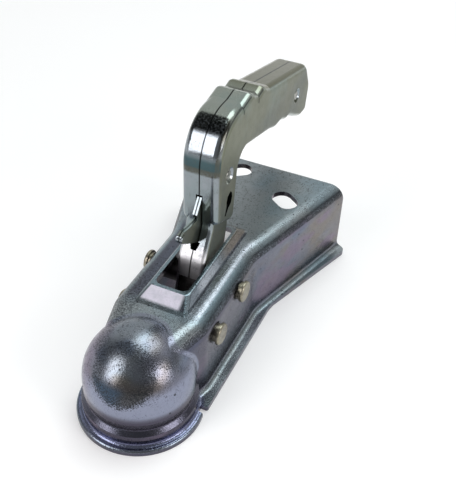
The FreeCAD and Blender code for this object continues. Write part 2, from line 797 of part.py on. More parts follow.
JAW = offsets("hinge_along", "hinge_up", [
    (-8.2, 3.4), (-5.2, 8.4), (3.8, 8.6), (8.8, 3.4), (8.8, -6.6), (5.8, -13.6), (5.8, -22.6),
]) + [
    ("hinge_along + 0.8", "0 - jaw_bottom"),
    ("hinge_along - 17.7", "0 - jaw_bottom"),
    ("hinge_along - 17.7", "hinge_up - 8.6"),
    ("hinge_along - 12.2", "hinge_up - 0.6"),
]
JAW_ROUNDS = {1: 4, 2: 5, 3: 4, 5: 4, 6: 2}


def build_jaw():
    """Block with two ears on the pin and a hollow that grips the ball."""
    body = new_body("ball_jaw")
    plan = outline(body, "jaw_outline", "YZ_Plane", JAW, "0", JAW_ROUNDS)
    pad(body, "jaw", plan, "2 * jaw_half", midplane=True)
    before = body.Tip.Shape.Volume
    primitive(body, "SubtractiveSphere", "ball_seat", "XY_Plane", "0", Radius="ball_radius + jaw_play")
    if not body.Tip.Shape.Volume < before - 100:
        raise RuntimeError("the ball seat cuts nothing")
    slot = outline(body, "ear_gap_outline", "YZ_Plane", [
        ("hinge_along - 14", "hinge_up - 8.8"),
        ("hinge_along + 12", "hinge_up - 8.8"),
        ("hinge_along + 12", "hinge_up + 12"),
        ("hinge_along - 14", "hinge_up + 12"),
    ])
    pocket(body, "ear_gap", slot, "2 * ear_gap_half", midplane=True)
    bore(body, "jaw_bore", "hinge_along", "hinge_up", "pin_radius + pin_fit")
    return body


# Torsion springs: a coil on the X axis with one leg down and one leg up

def build_spring(label, word, across, along, up, low_leg, high_leg):
    """One torsion spring, wound about the X axis and moved to its place."""
    body = new_body(label)
    wire, coil = word + "_wire", word + "_coil"
    start = "0 - %s_pitch * %s_turns / 2" % (word, word)
    circle = disc(body, "wire_circle", "XY_Plane", start, "0 - " + coil, wire)
    helix = body.newObject("PartDesign::AdditiveHelix", "coil")
    helix.Profile = circle
    helix.ReferenceAxis = (circle, ["H_Axis"])
    helix.Mode = 0
    helix.setExpression("Pitch", say(word + "_pitch"))
    helix.setExpression("Height", say("%s_pitch * %s_turns" % (word, word)))
    settle(helix)
    end = "%s_pitch * %s_turns / 2" % (word, word)
    for name, across_leg, low, length in (
            ("low_leg", end, "0 - ( %s )" % low_leg, low_leg),
            ("high_leg", start, "0 - %s / 2" % wire, high_leg)):
        leg = primitive(body, "AdditiveCylinder", name, "XY_Plane", low,
                        Radius=wire + " * leg_share", Height="%s + %s / 2" % (length, wire))
        place(leg, across_leg, "0 - " + coil)
    body.setExpression("Placement.Base.x", say(across))
    body.setExpression("Placement.Base.y", say(along))
    body.setExpression("Placement.Base.z", say(up))
    doc.recompute()
    return body


parts = [build_body()]
for label, along, up in (("pivot_pin", "pivot_along", "pivot_up"), ("jaw_pin", "hinge_along", "hinge_up")):
    parts.append(build_pin(label, along, up))
for side, word in ((1, "right"), (-1, "left")):
    parts.append(build_spacer("pivot_spacer_" + word, "pivot_along", "pivot_up", side, "stem_half"))
    parts.append(build_spacer("jaw_spacer_" + word, "hinge_along", "hinge_up", side, "jaw_half"))
    parts.append(build_shell("handle_%s_shell" % word, side))
for word in ("stem", "tip"):
    parts.append(build_rivet("handle_%s_rivet" % word, word + "_rivet_along", word + "_rivet_up",
                             "grip_half - rivet_sink", "rivet_radius", "rivet_bevel"))
parts.append(build_rivet("cam_rivet", "cam_rivet_along", "cam_rivet_up",
                         "stem_half + cam_rivet_rise", "cam_rivet_radius", "small_bevel"))
parts.append(build_rivet("catch_pin", "catch_pivot_along", "catch_pivot_up",
                         "stem_half - catch_pin_sink", "catch_pin_radius", "small_bevel"))
parts += [build_bush(), build_cam(), build_catch(), build_jaw()]
parts.append(build_spring("jaw_spring", "jaw", "0", "hinge_along", "hinge_up",
                          "8.6", "top_height - sheet - 2 * side_play - hinge_up"))
parts.append(build_spring("catch_spring", "catch",
                          "catch_half + side_play + catch_wire + catch_pitch * catch_turns / 2",
                          "catch_pivot_along", "catch_pivot_up", "5", "5"))

faults = [item.Name for item in doc.Objects if "Invalid" in item.State or "Error" in item.State]
for body in parts:
    shape = body.Shape
    if shape.isNull() or not shape.isValid() or len(shape.Solids) != 1:
        faults.append(body.Label)
if faults:
    raise RuntimeError("failed: " + ", ".join(faults))
for body in parts:
    body.Shape.exportStep("parts/%s.step" % body.Label)
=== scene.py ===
import math
from typing import NamedTuple

import bpy
from mathutils import Matrix, Quaternion, Vector


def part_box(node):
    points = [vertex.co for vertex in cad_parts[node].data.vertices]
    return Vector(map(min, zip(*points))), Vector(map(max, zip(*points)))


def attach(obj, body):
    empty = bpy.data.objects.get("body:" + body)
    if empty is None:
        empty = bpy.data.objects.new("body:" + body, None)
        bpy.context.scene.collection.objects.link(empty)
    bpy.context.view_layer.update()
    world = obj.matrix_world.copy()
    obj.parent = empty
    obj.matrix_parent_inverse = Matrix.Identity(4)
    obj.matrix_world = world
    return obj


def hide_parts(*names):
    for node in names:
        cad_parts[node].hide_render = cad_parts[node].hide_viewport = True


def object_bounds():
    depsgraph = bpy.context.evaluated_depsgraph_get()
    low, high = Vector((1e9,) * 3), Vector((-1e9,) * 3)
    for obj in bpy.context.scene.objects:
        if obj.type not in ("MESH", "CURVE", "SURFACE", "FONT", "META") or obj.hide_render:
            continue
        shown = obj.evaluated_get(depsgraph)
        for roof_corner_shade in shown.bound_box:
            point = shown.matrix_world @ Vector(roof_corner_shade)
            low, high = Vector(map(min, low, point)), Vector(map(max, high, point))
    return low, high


bl_info = {
    "name": "Coupling head finish",
    "version": (1, 0, 0),
    "blender": (4, 5, 0),
    "location": "View3D > Sidebar > Coupling",
    "description": "Zinc plated finish, springs and studio for a trailer coupling head",
    "category": "Object",
}

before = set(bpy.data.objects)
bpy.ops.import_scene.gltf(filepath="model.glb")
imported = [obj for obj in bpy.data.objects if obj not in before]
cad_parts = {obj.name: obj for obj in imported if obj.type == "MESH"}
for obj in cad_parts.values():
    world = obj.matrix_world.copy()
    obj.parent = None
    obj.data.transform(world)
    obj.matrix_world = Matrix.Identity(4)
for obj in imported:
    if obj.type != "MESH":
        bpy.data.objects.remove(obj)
cad_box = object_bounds()

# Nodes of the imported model, by the finish that they share

HANDLE_PRESSINGS = ("handle_left_shell", "handle_right_shell", "safety_catch")
HEADED_PINS = ("pivot_pin", "jaw_pin")
HANDLE_RIVETS = ("handle_stem_rivet", "handle_tip_rivet", "cam_rivet", "catch_pin")
TURNED_PIECES = (
    "pivot_bush", "pivot_spacer_left", "pivot_spacer_right", "jaw_spacer_left", "jaw_spacer_right")
FORGED_PIECES = ("lock_cam", "ball_jaw")

# Inputs of the node group that winds a spring, and the kind of each

SPRING_INPUTS = {
    "Wire radius": "Float", "Coil radius": "Float", "Coil length": "Float", "Turns": "Float",
    "Upper leg": "Float", "Lower leg": "Float", "Centre": "Vector", "Steps": "Int", "Sides": "Int",
    "Material": "Material"}

# The photograph's frame and its lens, in pixels, and the camera that was fitted to it

PHOTO_WIDTH = 456
PHOTO_HEIGHT = 486
PHOTO_FOCAL = 779.52
SENSOR_WIDTH = 36.0
CAMERA_PLACE = Vector((0.1408, -0.2205, 0.2983))
CAMERA_RIGHT = Vector((0.9079, 0.4183, 0.0287))
CAMERA_BACK = Vector((0.3062, -0.7084, 0.6359))
CAMERA_CLIP = 0.01

# The lamps, in metres, watts and degrees, with azimuth from the front towards +X, and what they face

LAMPS = {
    "left_lamp": dict(azimuth=-34, elevation=32, lean=17, width=0.38, height=0.68, watts=3.5,
                      tint=(1.0, 0.98, 1.0)),
    "right_lamp": dict(azimuth=80, elevation=25, lean=0, width=0.42, height=0.42, watts=2.8,
                       tint=(1.0, 0.97, 1.0)),
    "top_lamp": dict(azimuth=168, elevation=68, lean=0, width=0.6, height=0.6, watts=3.4,
                     tint=(0.9, 0.98, 1.0)),
}
LAMP_AIM = Vector(((cad_box[0][0] + cad_box[1][0]) / 2, 0.05, 0.02))
ROOM_TINT = (0.97, 0.99, 1.0, 1.0)
WHITE = (1.0, 1.0, 1.0, 1.0)


# Settings

def srgb(red, green, blue):
    """A scene colour from the 0 to 255 values that it should render as."""
    def straight(value):
        value /= 255.0
        return value / 12.92 if value <= 0.04045 else ((value + 0.055) / 1.055) ** 2.4
    return (straight(red), straight(green), straight(blue), 1.0)


def colour_property(name, description, default):
    return bpy.props.FloatVectorProperty(
        name=name, description=description, default=default, subtype="COLOR", size=4, min=0.0, max=1.0)


def length_property(name, description, default, least=0.0):
    return bpy.props.FloatProperty(
        name=name, description=description, default=default, unit="LENGTH", min=least)


def place_property(name, description, default):
    return bpy.props.FloatVectorProperty(
        name=name, description=description, default=default, subtype="XYZ", unit="LENGTH", precision=4)


def plain_property(name, description, default, least=0.0):
    return bpy.props.FloatProperty(name=name, description=description, default=default, min=least)


def count_property(name, description, default, least):
    return bpy.props.IntProperty(name=name, description=description, default=default, min=least)


class PlatedBodySettings(bpy.types.PropertyGroup):
    """Colours and patch sizes of the zinc plated pressing."""
    grey: colour_property("Plate grey", "Main colour of the plating", srgb(134, 140, 142))
    blue: colour_property("Plate blue", "Bluish tint of the plating", srgb(118, 134, 141))
    # violet is also painted shade: it darkens the upright walls
    violet: colour_property("Plate violet", "Violet tint on the walls and the cup", srgb(118, 120, 134))
    straw: colour_property("Plate straw", "Brownish tint in patches", srgb(122, 112, 98))
    steel_blue: colour_property(
        "Plate cool patch", "Cool patches on the cup and the walls", srgb(98, 112, 134))
    # painted shade: darkens the front of the walls, the neck, the roof left of the mouth and the right end
    # of the collar's brow
    painted_shade: colour_property(
        "Plate dusk", "Dark violet of the neck and the front of the walls", srgb(74, 70, 84))
    plum: colour_property("Plate plum", "Plum tint in patches on the walls and the cup", srgb(121, 107, 127))
    rim: colour_property("Rim violet", "Violet blue of the rim round the cup", srgb(112, 114, 146))
    # painted sheen: lightens the front of the collar's sides and the roof right of the mouth
    painted_sheen: colour_property("Collar flank", "Lighter plating on the collar's sides", srgb(176, 182, 190))
    # painted highlight on the front of the collar
    painted_highlight: colour_property(
        "Plate pink", "Pale pinkish plating at the front of the collar", srgb(224, 220, 231))
    # painted reflection of the floor on the steep sides of the cup
    painted_floor_reflection: colour_property("Cup lilac", "Pale lilac ring low on the cup", srgb(146, 152, 172))
    # painted dark reflection on the front of the cup: blue on its left, brown on its right
    painted_blue_reflection: colour_property("Cup blue tint", "Blue heat tint low on the cup", srgb(62, 80, 98))
    painted_brown_reflection: colour_property("Cup brown tint", "Brown heat tint low on the cup", srgb(72, 72, 72))
    # also the colour of the dense specks that are painted shade
    dark: colour_property("Dark speck", "Colour of the dark specks and the pits", srgb(50, 52, 56))
    # the way that the cup's painted dark reflection faces
    dark_reflection_aim: bpy.props.FloatVectorProperty(
        name="Cup tint direction", description="Which way the heat tint of the cup faces",
        default=(0.1, -0.725, 0.68), subtype="DIRECTION")
    cup_radius: length_property("Cup radius", "Outer radius of the ball cup", 0.0293, 0.001)
    speck_width: length_property("Speck width", "Width of one dark speck", 0.00065, 0.0001)
    pit_spacing: length_property("Pit spacing", "Between the small pits in the plating", 0.009, 0.001)
    patch_width: length_property("Patch width", "Width of one tinted patch", 0.045, 0.001)


class HandleSettings(bpy.types.PropertyGroup):
    """Colours and patch sizes of the lift handle."""
    side: colour_property("Handle side", "Colour of the dull flat sides", srgb(110, 113, 96))
    bright: colour_property("Handle bright", "Colour of the smoother bends", srgb(140, 146, 138))
    front: colour_property("Handle front", "Bluish plating on the front of the stem", srgb(142, 148, 156))
    # painted dark reflection under the bend
    knuckle_dark_reflection: colour_property("Knuckle teal", "Dark teal band under the bend", srgb(50, 74, 78))
    olive: colour_property("Handle olive", "Olive plating on top of the grip", srgb(98, 98, 76))
    teal: colour_property("Handle teal", "Bluish green tint in patches", srgb(118, 138, 136))
    # painted pale reflection on the foot of the stem
    pale: colour_property("Handle pale", "Pale plating at the foot of the stem", srgb(236, 234, 236))
    # also paints dark reflection below the bend's band and along its right edge
    stain: colour_property("Handle stain", "Colour of the darker marks", srgb(82, 82, 74))
    # also paints dark reflection above the bend
    seam: colour_property("Handle seam", "Dark line where the two shells meet", srgb(24, 26, 26))
    speck_width: length_property("Speck width", "Width of one dark speck", 0.0008, 0.0001)
    stain_width: length_property("Stain width", "Width of one stain", 0.006, 0.001)
    cloud_width: length_property("Cloud width", "Width of one cloudy patch", 0.03, 0.001)


class SmallPieceSettings(bpy.types.PropertyGroup):
    """Colours and patch sizes of the pins, tubes and forgings."""
    pin: colour_property("Pin", "Plating of the two headed pins", srgb(150, 145, 128))
    pin_shade: colour_property("Pin shade", "Darker patches of the headed pins", srgb(118, 112, 100))
    rivet: colour_property("Rivet", "Plating of the rivets", srgb(160, 160, 152))
    rivet_shade: colour_property("Rivet shade", "Darker patches of the rivets", srgb(112, 112, 106))
    turned: colour_property("Turned steel", "Steel of the bush and the tubes", srgb(120, 118, 116))
    turned_shade: colour_property("Turned shade", "Darker patches of the tubes", srgb(92, 90, 90))
    forged: colour_property("Forged steel", "Steel of the cam and the jaw", srgb(62, 60, 60))
    forged_shade: colour_property("Forged shade", "Darker patches of the forgings", srgb(42, 40, 40))
    fine_cloud: length_property("Fine clouds", "Width of one patch on pins and tubes", 0.004, 0.001)
    coarse_cloud: length_property("Coarse clouds", "Width of one patch on forgings", 0.006, 0.001)


class SpringSettings(bpy.types.PropertyGroup):
    """Colours and sizes of the two torsion springs."""
    steel: colour_property("Spring steel", "Colour of the bare wire", srgb(128, 128, 128))
    shade: colour_property("Spring shade", "Darker patches of the wire", srgb(92, 92, 94))
    cloud_width: length_property("Wire clouds", "Width of one patch on the wire", 0.002, 0.0001)
    jaw_wire_radius: length_property("Jaw spring wire", "Radius of the wire", 0.001)
    jaw_coil_radius: length_property("Jaw spring coil", "Radius to the middle of the wire", 0.0063)
    jaw_coil_length: length_property("Jaw spring length", "Length of the coil along its axis", 0.009)
    jaw_turns: plain_property("Jaw spring turns", "Turns of the coil", 3.0, 1.0)
    jaw_upper_leg: length_property("Jaw spring upper leg", "Leg that rests under the roof", 0.0124)
    jaw_lower_leg: length_property("Jaw spring lower leg", "Leg that pushes the jaw", 0.0086)
    jaw_centre: place_property("Jaw spring place", "Centre of the coil", (0.0, 0.0342, 0.0086))
    jaw_steps: count_property("Jaw spring steps", "Points along the wire", 240, 2)
    jaw_sides: count_property("Jaw spring sides", "Points round the wire", 14, 3)
    catch_wire_radius: length_property("Catch spring wire", "Radius of the wire", 0.00045)
    catch_coil_radius: length_property("Catch spring coil", "Radius to the middle of the wire", 0.0029)
    catch_coil_length: length_property("Catch spring length", "Length of the coil along its axis", 0.0028)
    catch_turns: plain_property("Catch spring turns", "Turns of the coil", 2.0, 1.0)
    catch_upper_leg: length_property("Catch spring upper leg", "Leg above the coil", 0.005)
    catch_lower_leg: length_property("Catch spring lower leg", "Leg below the coil", 0.005)
    catch_centre: place_property("Catch spring place", "Centre of the coil", (0.00335, 0.076, 0.046))
    catch_steps: count_property("Catch spring steps", "Points along the wire", 160, 2)
    catch_sides: count_property("Catch spring sides", "Points round the wire", 10, 3)


class StudioSettings(bpy.types.PropertyGroup):
    """Sizes and brightness of the floor, the room and the lamps."""
    floor: colour_property("Floor", "Colour of the floor", (0.88, 0.87, 0.86, 1.0))
    floor_width: length_property("Floor width", "From side to side of the floor", 60.0, 1.0)
    floor_glow: plain_property(
        "Floor glow", "Added to the floor where the camera or metal sees it", 0.17)
    far_glow: plain_property("Far floor glow", "The same, away from the lamps", 0.7)
    glow_start: length_property("Glow start", "From the ball centre to where the glow grows", 0.3)
    glow_end: length_property("Glow end", "From the ball centre to where the far glow is full", 1.5)
    room_front: plain_property("Room in front", "Brightness of the dark side of the room", 0.25)
    room_rear: plain_property("Room behind", "Brightness of the pale wall behind the part", 0.85)
    lamp_distance: length_property("Lamp distance", "From the aim of the lamps to each lamp", 0.9, 0.1)


# Nodes and masks. A mask is nothing where a coat of colour is missing, and one where it is full.

class Fade(NamedTuple):
    """Goes from one level to another while a value goes from start to end, and is steady outside."""
    start: float
    end: float
    at_start: float = 0.0
    at_end: float = 1.0

    def over(self, nodes, value):
        """Adds the node that fades this value."""
        made = nodes.add(
            "ShaderNodeMapRange", Value=value, From_Min=self.start, From_Max=self.end,
            To_Min=self.at_start, To_Max=self.at_end)
        made.clamp = True
        made.interpolation_type = "SMOOTHSTEP"
        return made.outputs["Result"]


class Stretch(NamedTuple):
    """One while a value is between low and high, and nothing outside, with soft edges."""
    low: float
    high: float
    edge: float

    def over(self, nodes, value):
        """Adds the nodes that cut this value off at both ends."""
        rise = Fade(self.low - self.edge, self.low)
        fall = Fade(self.high + self.edge, self.high)
        return nodes.times(rise.over(nodes, value), fall.over(nodes, value))


class Nodes:
    """Adds nodes to one tree and joins them up."""

    def __init__(self, tree):
        self.tree = tree

    def feed(self, socket, value):
        """Links a socket to another one, or gives it a plain value."""
        if isinstance(value, bpy.types.NodeSocket):
            self.tree.links.new(value, socket)
        else:
            socket.default_value = value

    def add(self, kind, **inputs):
        """A new node with these inputs, where an underscore stands for a space in an input's name."""
        made = self.tree.nodes.new(kind)
        for name, value in inputs.items():
            self.feed(made.inputs[name.replace("_", " ")], value)
        return made

    def operate(self, kind, operation, values):
        """A new node of a kind that offers several operations, with its inputs in their order."""
        made = self.tree.nodes.new(kind)
        made.operation = operation
        for socket, value in zip(made.inputs, values):
            self.feed(socket, value)
        return made.outputs

    def maths(self, operation, *values):
        return self.operate("ShaderNodeMath", operation, values)["Value"]

    def chain(self, operation, values):
        """Joins any number of values by one operation, from left to right."""
        result = values[0]
        for value in values[1:]:
            result = self.maths(operation, result, value)
        return result

    def times(self, *values):
        return self.chain("MULTIPLY", values)

    def plus(self, *values):
        return self.chain("ADD", values)

    def minus(self, *values):
        return self.chain("SUBTRACT", values)

    def largest(self, *values):
        return self.chain("MAXIMUM", values)

    def opposite(self, mask):
        return self.minus(1.0, mask)

    def between(self, mask, outside, inside):
        """A number that is one thing where a mask is nothing and another where it is full."""
        return Fade(0.0, 1.0, outside, inside).over(self, mask)

    def length(self, vector):
        return self.operate("ShaderNodeVectorMath", "LENGTH", (vector,))["Value"]

    def split(self, vector):
        """The three parts of a vector."""
        axes = self.add("ShaderNodeSeparateXYZ", Vector=vector).outputs
        return [axes[name] for name in "XYZ"]

    def zone(self, *masks, **limits):
        """Where all the masks hold, and each limit on the value of this object that has its name."""
        for name, limit in limits.items():
            masks += (limit.over(self, getattr(self, name)),)
        return self.times(*masks)


class Metal(Nodes):
    """A metal material while it is being made."""

    def __init__(self, name):
        self.material = bpy.data.materials.new(name)
        self.material.use_nodes = True
        super().__init__(self.material.node_tree)
        self.shader = self.tree.nodes["Principled BSDF"].inputs
        self.shader["Metallic"].default_value = 1.0
        coordinates = self.add("ShaderNodeTexCoord").outputs
        self.place = coordinates["Object"]
        self.direction = coordinates["Normal"]

    def noise(self, width, detail, roughness, stretch=(1.0, 1.0, 1.0)):
        """A noise whose features are about one width across, and finer where a stretch is over one."""
        scale = [part / width for part in stretch]
        scaled = self.add("ShaderNodeMapping", Vector=self.place, Scale=scale).outputs["Vector"]
        made = self.add(
            "ShaderNodeTexNoise", Vector=scaled, Scale=1.0, Detail=detail, Roughness=roughness)
        return made.outputs["Fac"]

    def mix(self, mask, below, above):
        """A colour between two colours, each a socket or a plain colour."""
        made = self.tree.nodes.new("ShaderNodeMix")
        made.data_type = "RGBA"
        sockets = {item.identifier: item for item in made.inputs}
        for name, value in (("Factor_Float", mask), ("A_Color", below), ("B_Color", above)):
            self.feed(sockets[name], value)
        return next(item for item in made.outputs if item.identifier == "Result_Color")

    def finish(self, colour, roughness, height, depth, strength):
        """Joins the shader up, with a relief that is about as deep as depth, and gives the material."""
        bump = self.add("ShaderNodeBump", Height=height, Distance=depth, Strength=strength)
        self.feed(self.shader["Base Color"], colour)
        self.feed(self.shader["Roughness"], roughness)
        self.feed(self.shader["Normal"], bump.outputs["Normal"])
        return self.material


class PlatedMetal(Metal):
    """A metal whose coats of colour depend on where a point is and which way it faces."""

    def __init__(self, name, first_coat):
        super().__init__(name)

        # a place in metres from the ball's centre, along to the rear, and a direction from -1 to 1
        self.across, self.along, self.up = self.split(self.place)
        self.sideways, self.rearward, self.upward = self.split(self.direction)
        self.turn = self.maths("ABSOLUTE", self.sideways)
        self.colour = first_coat

    def coat(self, colour, *masks, strength=1.0, **limits):
        """Lays a colour over the coats below, in the zone that the masks and limits give."""
        mask = self.zone(*masks, **limits)
        if strength < 1.0:
            mask = self.times(mask, strength)
        self.colour = self.mix(mask, self.colour, colour)


# Finishes. Left and right are as seen from the front, where the cup is, and paint is the settings group.

COLLAR_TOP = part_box("coupling_body")[1][2]
ROOF_TOP = COLLAR_TOP - 0.0053
ROOF_HEIGHTS = Stretch(ROOF_TOP - 0.0044, ROOF_TOP + 0.0008, edge=0.001)
COLLAR_HEIGHTS = Stretch(ROOF_TOP + 0.0018, COLLAR_TOP + 0.0023, edge=0.0011)
RIM_TOP = cad_box[0][2] + 0.0051
CUP_EDGE = 0.001
# how far the border between the blue and the brown painted reflection wanders
DARK_REFLECTION_BORDER_WANDER = 0.01


class PressedPlating(PlatedMetal):
    """Bright zinc with a blue and violet cast, cloudy, with dark specks, and with painted shade, painted
    highlights and painted reflections.
    """

    def __init__(self, paint):
        super().__init__("plated_pressing", paint.grey)
        patch = paint.patch_width

        # five noises, from one patch wide down to one speck
        self.cloud = self.noise(patch, detail=3.0, roughness=0.5)
        self.tint = self.noise(patch * 0.6, detail=3.0, roughness=0.6, stretch=(1.0, 0.6, 1.3))
        self.haze = self.noise(patch * 0.45, detail=2.0, roughness=0.5, stretch=(1.0, 0.5, 1.6))
        self.grain = self.noise(patch * 0.09, detail=5.0, roughness=0.65)
        self.speck = self.noise(paint.speck_width, detail=2.0, roughness=0.6)

        # where the cup, the sheet round it and its upright walls are, and the faces of the collar
        self.reach = self.length(self.place)
        self.cup = self.zone(reach=Fade(paint.cup_radius + CUP_EDGE, paint.cup_radius))
        self.sheet = self.opposite(self.cup)
        self.upright = self.zone(upward=Fade(0.75, 0.2))
        self.wall = self.times(self.upright, self.sheet)
        self.collar = self.zone(up=COLLAR_HEIGHTS, along=Fade(0.018, 0.02))
        self.facet = self.zone(self.collar, upward=Stretch(0.4, 0.93, edge=0.04))
        self.collar_front = self.zone(self.facet, turn=Fade(0.3, 0.12), along=Fade(0.034, 0.032))
        self.brow = self.zone(self.collar_front, across=Fade(0.0108, 0.0082))

        # how nearly a point faces the way of the cup's painted dark reflection, made ragged by the specks
        facing = self.operate("ShaderNodeVectorMath", "DOT_PRODUCT", (self.direction, paint.dark_reflection_aim))
        self.heat = self.plus(facing["Value"], self.zone(speck=Fade(0.3, 0.7, at_start=-0.03, at_end=0.03)))

    def lay_plate_and_painted_light(self, paint):
        """Blue clouds, violet on the cup, a darker violet on the upright walls that is painted shade, and
        cool and brownish patches over them.
        """
        self.coat(paint.blue, cloud=Fade(0.4, 0.62))
        # painted shade: the upright walls go darker violet
        self.coat(paint.violet, self.upright, strength=0.8)
        self.coat(paint.violet, self.cup, tint=Fade(0.35, 0.6, at_start=0.35, at_end=0.9))
        self.coat(paint.straw, self.cup, up=Fade(0.006, 0.014), cloud=Fade(0.5, 0.62), strength=0.7)
        either = self.largest(self.cup, self.upright)
        self.coat(paint.steel_blue, either, cloud=Fade(0.47, 0.36), strength=0.85)
        self.coat(paint.straw, self.upright, tint=Fade(0.55, 0.68), strength=0.55)

    def tint_and_shade_walls(self, paint):
        """Painted shade in front and at the neck, brownish behind, plum patches, and a violet rim."""
        # painted shade on the front of the walls
        self.coat(paint.painted_shade, self.upright, along=Fade(0.12, 0.03, at_start=0.22), strength=0.72)
        self.coat(paint.straw, self.upright, along=Fade(0.11, 0.16),
                  tint=Fade(0.4, 0.6, at_start=0.15, at_end=0.55))
        # painted shade on the neck above the rim
        self.coat(paint.painted_shade, up=Stretch(RIM_TOP, -0.005, edge=0.0015), along=Fade(0.025, 0.012),
                  strength=0.85)
        self.coat(paint.plum, self.wall, up=Fade(RIM_TOP, -0.015), haze=Fade(0.47, 0.6, at_end=0.75))
        self.coat(paint.rim, up=Fade(-0.0165, RIM_TOP), along=Fade(0.018, 0.012),
                  reach=Fade(0.0396, 0.0375, at_end=0.7))

    def shade_and_light_roof(self, paint):
        """Painted shade on the left of the mouth and a painted sheen on its right."""
        beside = self.zone(
            upward=Fade(0.9, 0.97), along=Stretch(0.03, 0.085, edge=0.012), up=ROOF_HEIGHTS)
        # painted shade left of the mouth, and painted sheen right of it
        self.coat(paint.painted_shade, beside, across=Fade(-0.004, -0.014, at_end=0.75))
        self.coat(paint.painted_sheen, beside, across=Fade(0.004, 0.014, at_end=0.9))

    def tint_collar_and_paint_light(self, paint):
        """A painted pinkish highlight on the brow in front with painted shade at its right end, a painted
        sheen on the front of the sides, and a brownish rear.
        """
        # painted shade at the right end of the collar's front
        self.coat(paint.painted_shade, self.collar_front, across=Fade(0.0085, 0.0112),
                  grain=Fade(0.35, 0.6, at_start=0.45, at_end=0.8))
        # painted highlight on the collar's brow
        self.coat(paint.painted_highlight, self.brow, grain=Fade(0.3, 0.6, at_start=0.75))
        # painted sheen on the front of the collar's sides
        self.coat(paint.painted_sheen, self.facet, turn=Fade(0.3, 0.42), along=Fade(0.075, 0.05),
                  tint=Fade(0.4, 0.6, at_start=0.2, at_end=0.9))
        self.coat(paint.straw, self.facet, along=Fade(0.06, 0.08, at_end=0.7))

    def tint_cup_and_paint_reflections(self, paint):
        """A painted lilac reflection of the floor on the steep sides of the cup, plum on the left, and a
        painted dark reflection in front that goes from blue to brown.
        """
        # painted reflection of the floor on the steep sides of the cup
        self.coat(paint.painted_floor_reflection, self.cup, upward=Fade(0.5, 0.3), up=Fade(-0.004, 0.0), strength=0.8)
        self.coat(paint.plum, self.cup, sideways=Fade(-0.35, -0.7),
                  haze=Fade(0.3, 0.5, at_start=0.35, at_end=0.65))
        # painted dark reflection on the front of the cup, blue on the left and brown on the right
        uneven_across = self.plus(self.across, self.times(self.tint, DARK_REFLECTION_BORDER_WANDER))
        brown = Fade(0.006, 0.014).over(self, uneven_across)
        reflection_colour = self.mix(brown, paint.painted_blue_reflection, paint.painted_brown_reflection)
        self.coat(reflection_colour, self.cup, heat=Fade(0.82, 0.87), upward=Fade(0.58, 0.44), strength=0.92)

    def specks(self):
        """Dark specks: few in most places, and dense specks of painted shade on the rolled edges, at the
        roof's front left and round the cup's painted dark reflection."""
        low_cup = self.zone(self.cup, up=Fade(0.012, 0.004))
        few = self.zone(
            self.between(self.wall, outside=0.8, inside=0.3),
            self.between(self.brow, outside=1.0, inside=0.15),
            self.between(low_cup, outside=1.0, inside=0.3),
            speck=Fade(0.52, 0.62), grain=Fade(0.38, 0.6))
        # painted shade: dense dark specks on the rolled edges
        edges = self.zone(
            self.sheet, self.opposite(self.collar), upward=Stretch(0.35, 0.66, edge=0.08),
            up=Fade(0.01, 0.014), speck=Fade(0.38, 0.52, at_start=0.15, at_end=0.92))
        roof_corner_shade = self.zone(
            across=Fade(-0.006, -0.015), up=ROOF_HEIGHTS, along=Fade(0.07, 0.035),
            speck=Fade(0.44, 0.58, at_end=0.85))
        reflection_specks = self.zone(
            self.cup, heat=Stretch(0.855, 0.94, edge=0.04),
            speck=Fade(0.45, 0.56, at_start=0.12, at_end=0.9))
        return self.largest(few, edges, roof_corner_shade, reflection_specks)

    def pits(self, spacing):
        """One small round pit in each cell of a pattern of cells."""
        cells = self.add("ShaderNodeTexVoronoi", Vector=self.place, Scale=1.0 / spacing)
        return Fade(0.075, 0.05).over(self, cells.outputs["Distance"])


def pressed_plating(paint):
    """The finish of the pressed body, coat by coat."""
    metal = PressedPlating(paint)
    metal.lay_plate_and_painted_light(paint)
    metal.tint_and_shade_walls(paint)
    metal.shade_and_light_roof(paint)
    metal.tint_collar_and_paint_light(paint)
    metal.tint_cup_and_paint_reflections(paint)
    specks = metal.specks()
    pits = metal.pits(paint.pit_spacing)
    # real specks and pits, and the dense specks that are painted shade
    metal.coat(paint.dark, specks)
    metal.coat(paint.dark, pits, strength=0.9)
    rear_roof = metal.zone(upward=Fade(0.97, 0.99), along=Fade(0.06, 0.11))
    roughness = metal.plus(
        metal.zone(grain=Fade(0.3, 0.7, at_start=0.18, at_end=0.27)), metal.times(specks, 0.2),
        metal.times(metal.brow, 0.3), metal.times(rear_roof, 0.14))
    height = metal.minus(
        metal.plus(metal.times(metal.grain, 0.6), metal.speck), metal.times(pits, 2.0))
    return metal.finish(metal.colour, roughness, height, depth=0.0001, strength=0.8)


